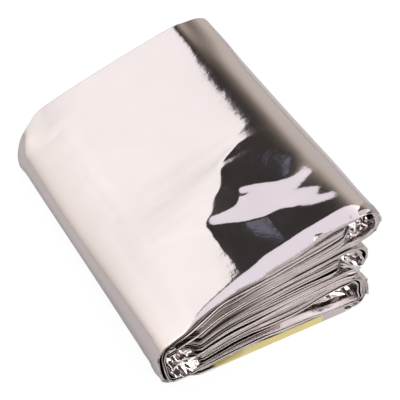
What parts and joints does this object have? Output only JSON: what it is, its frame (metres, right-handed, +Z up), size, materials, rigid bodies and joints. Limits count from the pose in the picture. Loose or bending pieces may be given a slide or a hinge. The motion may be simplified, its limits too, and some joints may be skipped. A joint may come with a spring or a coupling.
{
  "type": "folded emergency sleeping bag",
  "caption": "Silvery film sleeping bag folded back and forth into a wedge-shaped packet with an open layered end.",
  "frame": {"origin": "middle of the packet's outline on the surface it rests on", "axes": "+Y along the packet from its open layered front end to its back end, +Z up, +X from the thin wrapped edge to the open folds"},
  "size_m": [0.095, 0.1406, 0.0451],
  "materials": {
    "film": "mirror-like metallised film"
  },
  "bodies": {
    "root": {"folded_bag": "film"}
  },
  "joints": []
}
